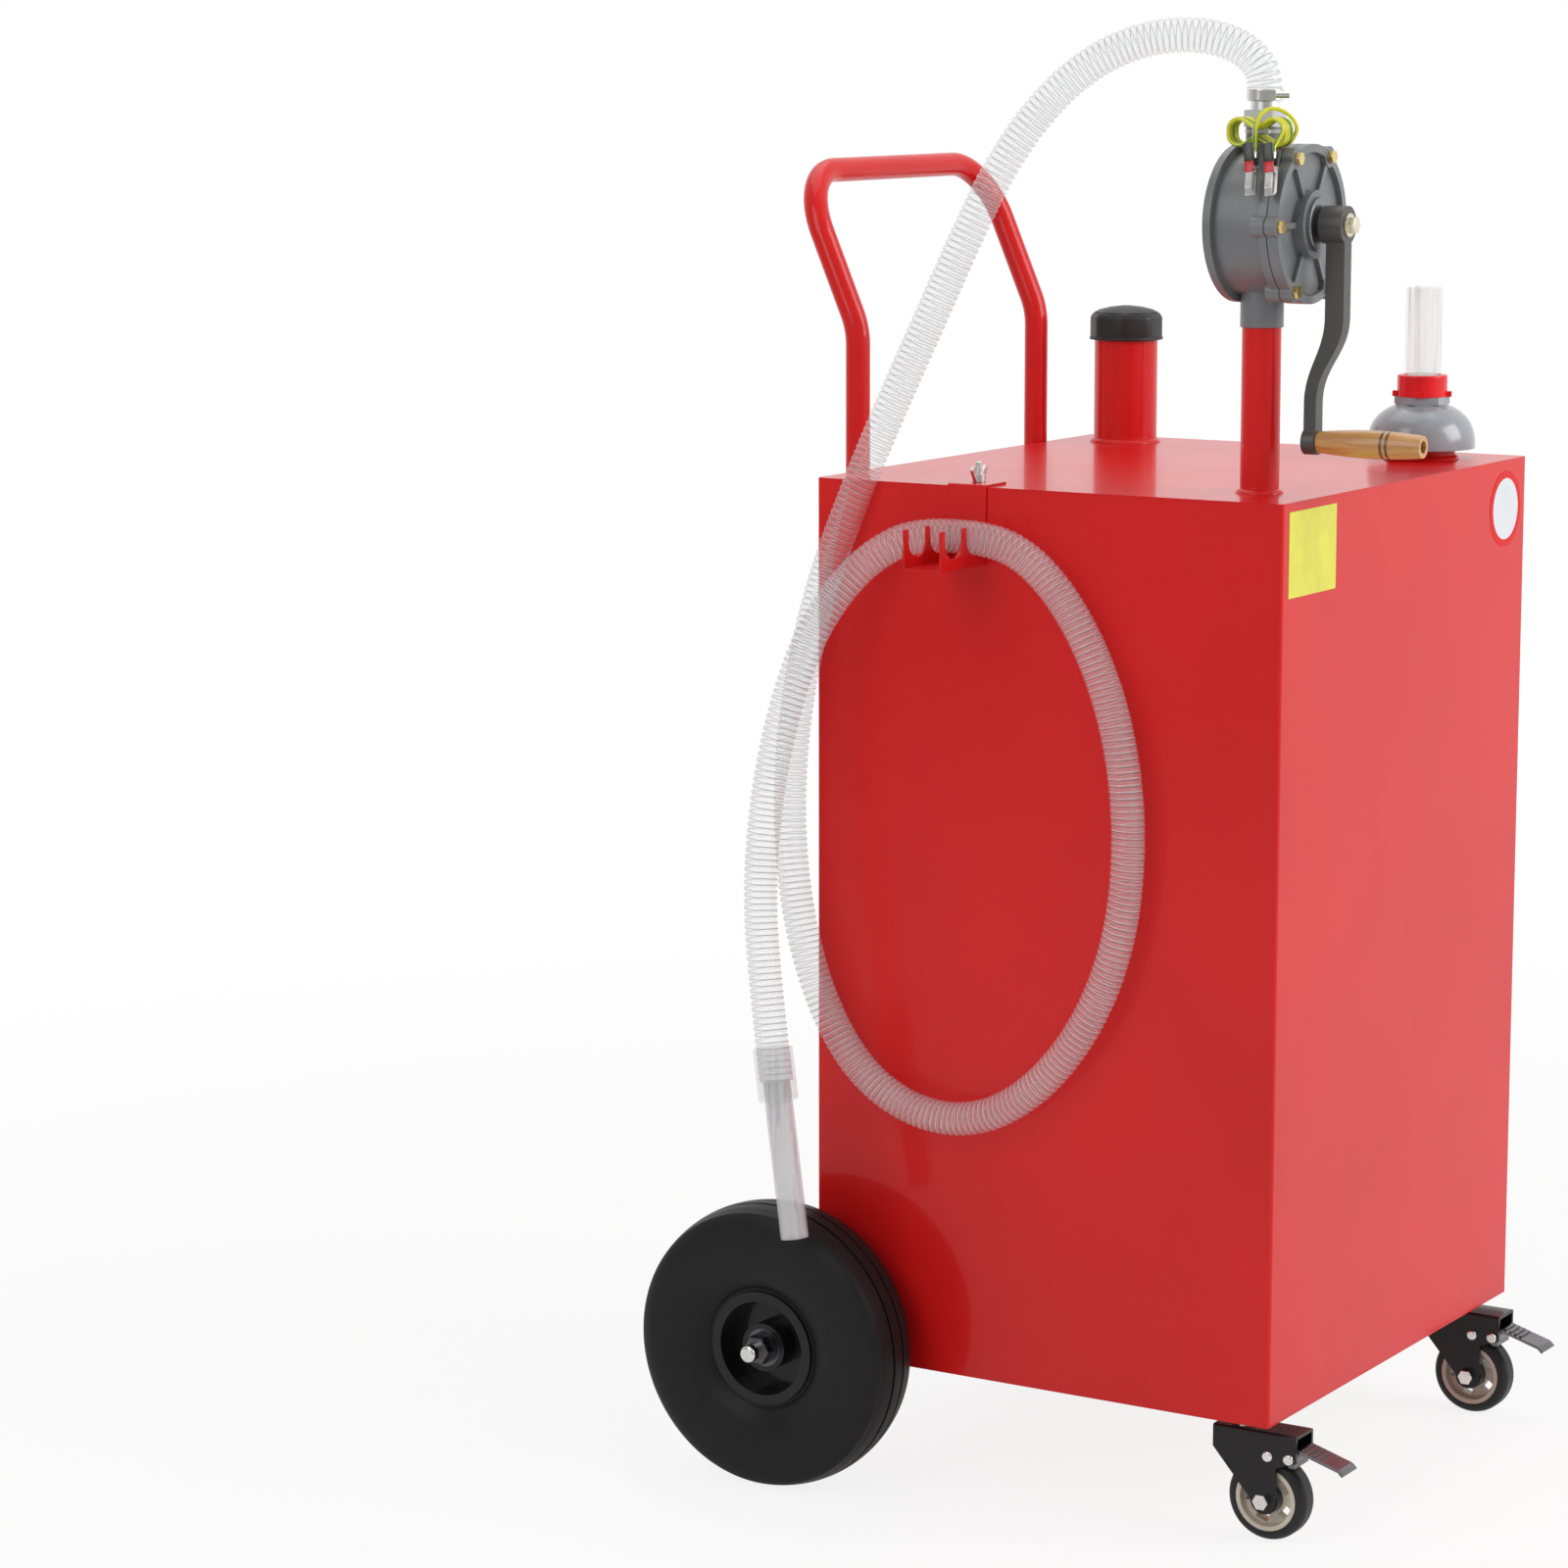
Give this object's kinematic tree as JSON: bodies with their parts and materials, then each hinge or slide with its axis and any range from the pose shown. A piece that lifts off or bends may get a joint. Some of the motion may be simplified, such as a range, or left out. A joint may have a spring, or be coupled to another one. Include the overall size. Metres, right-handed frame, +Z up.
{
  "type": "fuel caddy",
  "caption": "Wheeled steel fuel tank with a push handle, hand-cranked rotary pump, coiled clear hose on a hook, capped fill neck, level gauge and braked swivel casters.",
  "frame": {"origin": "on the floor, midway across and along the caddy's outer box without its hose and grounding wire", "axes": "+Z up; -Y towards the pump and casters, the tank's front; +Y towards the handle and big wheels; -X towards the hose hook"},
  "size_m": [0.7438, 0.6876, 1.3117],
  "materials": {
    "red_paint": "glossy red paint",
    "red_plastic": "glossy red",
    "zinc_steel": "zinc plated",
    "dark_nut": "dark, worn",
    "tyre_rubber": "matte black",
    "rim_black": "glossy black",
    "caster_steel": "nickel plated",
    "pedal_chrome": "chrome plated",
    "caster_rubber": "satin black",
    "caster_beige": "beige moulding",
    "pump_grey": "grey casting, painted",
    "pump_parts": "dark cast metal",
    "gasket_black": "matte black",
    "cap_black": "satin black",
    "yellow_zinc": "yellow zinc plated",
    "rotor_iron": "machined",
    "vane_plastic": "moulded",
    "barb_metal": "turned",
    "grip_wood": "varnished",
    "gauge_grey": "grey moulding",
    "gauge_clear": "clear plastic",
    "float_white": "moulded",
    "hose_clear": "clear plastic over a wire coil",
    "nozzle_clear": "clear to milky plastic",
    "clip_steel": "nickel plated",
    "wire_green": "yellow and green insulation",
    "tie_clear": "translucent tie",
    "label_yellow": "printed film, blank",
    "label_white": "printed film, blank"
  },
  "bodies": {
    "tank": {"tank_wrap": "red_paint", "tank_top": "red_paint", "tank_bottom": "red_paint", "handle": "red_paint", "rear_brackets": "red_paint", "riser_pipe": "red_paint", "fill_neck": "red_paint", "gauge_neck": "red_paint", "hook_bracket": "red_paint", "gauge_nut": "red_plastic", "axle": "zinc_steel", "caster_stems": "zinc_steel", "hook_stud": "zinc_steel", "hose_clamp": "zinc_steel", "axle_nuts": "dark_nut", "pump_body": "pump_grey", "pump_cover": "pump_grey", "packing_nut": "pump_parts", "cover_gasket": "gasket_black", "cover_bolts": "yellow_zinc", "outlet_barb": "barb_metal", "suction_tube": "barb_metal", "strainer": "barb_metal", "gauge_dome": "gauge_grey", "gauge_tube": "gauge_clear", "hose": "hose_clear", "hose_cuff": "nozzle_clear", "nozzle_tube": "nozzle_clear", "clip_fixed_jaws": "clip_steel", "ground_hank": "wire_green", "ground_tie": "tie_clear", "yellow_label": "label_yellow", "white_label": "label_white"},
    "wheel_left": {"tyre_left": "tyre_rubber", "rim_left": "rim_black", "bearings_left": "zinc_steel"},
    "wheel_right": {"tyre_right": "tyre_rubber", "rim_right": "rim_black", "bearings_right": "zinc_steel"},
    "fork_left": {"fork_left": "rim_black", "caster_bolts_left": "caster_steel"},
    "fork_right": {"fork_right": "rim_black", "caster_bolts_right": "caster_steel"},
    "caster_wheel_left": {"caster_tyre_left": "caster_rubber", "caster_core_left": "caster_beige"},
    "caster_wheel_right": {"caster_tyre_right": "caster_rubber", "caster_core_right": "caster_beige"},
    "pedal_left": {"pedal_left": "pedal_chrome"},
    "pedal_right": {"pedal_right": "pedal_chrome"},
    "crank": {"crank_arm": "pump_parts", "crank_fasteners": "zinc_steel", "pump_rotor": "rotor_iron", "vanes": "vane_plastic"},
    "grip": {"grip": "grip_wood"},
    "cap_seal": {"cap_gasket": "gasket_black"},
    "fill_cap": {"fill_cap": "cap_black"},
    "wing_nut": {"wing_nut": "zinc_steel"},
    "gauge_float": {"gauge_float": "float_white"},
    "clip_jaw_a": {"clip_jaw_a": "clip_steel"},
    "clip_jaw_b": {"clip_jaw_b": "clip_steel"}
  },
  "joints": [
    {"name": "wheel_spin_left", "type": "hinge", "parent": "tank", "child": "wheel_left", "pos_m": [-0.313, 0.2138, 0.13], "axis": [1, 0, 0], "continuous": true},
    {"name": "caster_swivel_left", "type": "hinge", "parent": "tank", "child": "fork_left", "pos_m": [-0.22, -0.2147, 0.1], "axis": [0, 0, 1], "continuous": true},
    {"name": "caster_spin_left", "type": "hinge", "parent": "fork_left", "child": "caster_wheel_left", "pos_m": [-0.22, -0.2387, 0.0375], "axis": [1, 0, 0], "continuous": true},
    {"name": "brake_pedal_left", "type": "hinge", "parent": "fork_left", "child": "pedal_left", "pos_m": [-0.22, -0.2627, 0.0785], "axis": [1, 0, 0], "range_deg": [0, 12]},
    {"name": "wheel_spin_right", "type": "hinge", "parent": "tank", "child": "wheel_right", "pos_m": [0.313, 0.2138, 0.13], "axis": [1, 0, 0], "continuous": true},
    {"name": "caster_swivel_right", "type": "hinge", "parent": "tank", "child": "fork_right", "pos_m": [0.22, -0.2147, 0.1], "axis": [0, 0, 1], "continuous": true},
    {"name": "caster_spin_right", "type": "hinge", "parent": "fork_right", "child": "caster_wheel_right", "pos_m": [0.22, -0.2387, 0.0375], "axis": [1, 0, 0], "continuous": true},
    {"name": "brake_pedal_right", "type": "hinge", "parent": "fork_right", "child": "pedal_right", "pos_m": [0.22, -0.2627, 0.0785], "axis": [1, 0, 0], "range_deg": [0, 12]},
    {"name": "crank_turn", "type": "hinge", "parent": "tank", "child": "crank", "pos_m": [-0.18, -0.25, 1.139], "axis": [0, 1, 0], "continuous": true},
    {"name": "grip_spin", "type": "hinge", "parent": "crank", "child": "grip", "pos_m": [-0.18, -0.296, 0.956], "axis": [0, 1, 0], "continuous": true},
    {"name": "cap_lift", "type": "slide", "parent": "tank", "child": "cap_seal", "axis": [0, 0, 1], "range_m": [0, 0.06]},
    {"name": "cap_turn", "type": "hinge", "parent": "cap_seal", "child": "fill_cap", "pos_m": [0.205, 0.1393, 1.02], "axis": [0, 0, 1], "range_deg": [0, 900]},
    {"name": "wing_nut_turn", "type": "hinge", "parent": "tank", "child": "wing_nut", "pos_m": [-0.239, 0.0493, 0.915], "axis": [0, 0, 1], "continuous": true},
    {"name": "float_rise", "type": "slide", "parent": "tank", "child": "gauge_float", "axis": [0, 0, 1], "range_m": [0, 0.07]},
    {"name": "clip_open_a", "type": "hinge", "parent": "tank", "child": "clip_jaw_a", "pos_m": [-0.24464, -0.21237, 1.18516], "axis": [-0.101, 0.9809, -0.166], "range_deg": [0, 25], "stiffness_Nm_per_rad": 0.1, "springref_deg": -28.65},
    {"name": "clip_open_b", "type": "hinge", "parent": "tank", "child": "clip_jaw_b", "pos_m": [-0.24464, -0.23037, 1.18516], "axis": [-0.101, 0.9809, -0.166], "range_deg": [0, 25], "stiffness_Nm_per_rad": 0.1, "springref_deg": -28.65}
  ]
}
